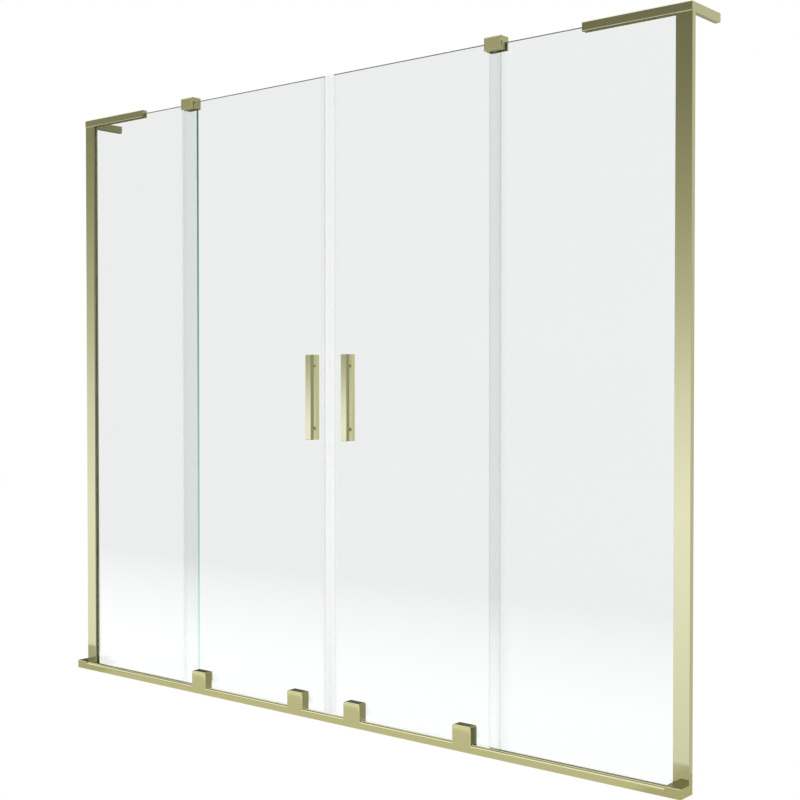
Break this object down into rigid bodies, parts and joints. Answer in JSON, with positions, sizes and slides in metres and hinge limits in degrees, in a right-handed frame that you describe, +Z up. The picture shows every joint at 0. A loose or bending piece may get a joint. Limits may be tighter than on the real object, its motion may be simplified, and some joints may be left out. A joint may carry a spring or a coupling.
{
  "type": "sliding bath screen",
  "caption": "Frameless sliding bath screen: glass doors on rollers meet in front of fixed panes held by wall profiles, corner brackets and a slim rail.",
  "frame": {"origin": "middle of the underside of the rail, where it sits on the rim of the bath", "axes": "+X from the left wall to the right wall as seen from the room, +Y from the room towards the bath, +Z up"},
  "size_m": [1.836, 0.1502, 1.504],
  "materials": {
    "brushed_gold": "brushed and anodised, light olive gold",
    "clear_glass": "clear toughened glass with ground edges",
    "clear_seal": "clear soft plastic",
    "grey_seal": "translucent grey rubber",
    "white_nylon": "moulded nylon",
    "magnet": "magnetic rubber",
    "steel": "stainless steel"
  },
  "bodies": {
    "frame": {"bottom_rail": "brushed_gold", "set_screws": "steel", "guide_screws": "steel", "left_end_block": "brushed_gold", "left_wall_profile": "brushed_gold", "left_fixed_glass": "clear_glass", "left_glazing_gasket": "grey_seal", "left_bed_seal": "grey_seal", "left_top_bracket": "brushed_gold", "left_bracket_liner": "grey_seal", "left_top_guide": "brushed_gold", "left_guide_insert": "white_nylon", "left_rail_stop": "grey_seal", "right_end_block": "brushed_gold", "right_wall_profile": "brushed_gold", "right_fixed_glass": "clear_glass", "right_glazing_gasket": "grey_seal", "right_bed_seal": "grey_seal", "right_top_bracket": "brushed_gold", "right_bracket_liner": "grey_seal", "right_top_guide": "brushed_gold", "right_guide_insert": "white_nylon", "right_rail_stop": "grey_seal"},
    "left_door": {"left_door_glass": "clear_glass", "left_front_handle": "brushed_gold", "left_rear_handle": "brushed_gold", "left_handle_studs": "steel", "left_handle_washers": "clear_seal", "left_magnet_seal": "clear_seal", "left_magnet_strip": "magnet", "left_edge_seal": "clear_seal", "left_drip_seal": "clear_seal", "left_outer_trolley": "brushed_gold", "left_inner_trolley": "brushed_gold", "left_outer_clamp_plate": "brushed_gold", "left_inner_clamp_plate": "brushed_gold", "left_trolley_pads": "grey_seal", "left_trolley_screws": "steel", "left_roller_axles": "steel"},
    "right_door": {"right_door_glass": "clear_glass", "right_front_handle": "brushed_gold", "right_rear_handle": "brushed_gold", "right_handle_studs": "steel", "right_handle_washers": "clear_seal", "right_magnet_seal": "clear_seal", "right_magnet_strip": "magnet", "right_edge_seal": "clear_seal", "right_drip_seal": "clear_seal", "right_outer_trolley": "brushed_gold", "right_inner_trolley": "brushed_gold", "right_outer_clamp_plate": "brushed_gold", "right_inner_clamp_plate": "brushed_gold", "right_trolley_pads": "grey_seal", "right_trolley_screws": "steel", "right_roller_axles": "steel"},
    "left_outer_wheel": {"left_outer_roller": "white_nylon"},
    "left_inner_wheel": {"left_inner_roller": "white_nylon"},
    "right_inner_wheel": {"right_inner_roller": "white_nylon"},
    "right_outer_wheel": {"right_outer_roller": "white_nylon"}
  },
  "joints": [
    {"name": "left_door_slide", "type": "slide", "parent": "frame", "child": "left_door", "axis": [-1, 0, 0], "range_m": [0, 0.36]},
    {"name": "right_door_slide", "type": "slide", "parent": "frame", "child": "right_door", "axis": [1, 0, 0], "range_m": [0, 0.36]},
    {"name": "left_outer_spin", "type": "hinge", "parent": "left_door", "child": "left_outer_wheel", "pos_m": [-0.42535, -0.0025, 0.0283], "axis": [0, -1, 0], "continuous": true},
    {"name": "left_inner_spin", "type": "hinge", "parent": "left_door", "child": "left_inner_wheel", "pos_m": [-0.08955, -0.0025, 0.0283], "axis": [0, -1, 0], "continuous": true},
    {"name": "right_inner_spin", "type": "hinge", "parent": "right_door", "child": "right_inner_wheel", "pos_m": [0.08955, -0.0025, 0.0283], "axis": [0, 1, 0], "continuous": true},
    {"name": "right_outer_spin", "type": "hinge", "parent": "right_door", "child": "right_outer_wheel", "pos_m": [0.40225, -0.0025, 0.0283], "axis": [0, 1, 0], "continuous": true}
  ],
  "couplings": [
    {"joint": "left_outer_spin", "follows": "left_door_slide", "rad_per_m": 100},
    {"joint": "left_inner_spin", "follows": "left_door_slide", "rad_per_m": 100},
    {"joint": "right_inner_spin", "follows": "right_door_slide", "rad_per_m": 100},
    {"joint": "right_outer_spin", "follows": "right_door_slide", "rad_per_m": 100}
  ]
}
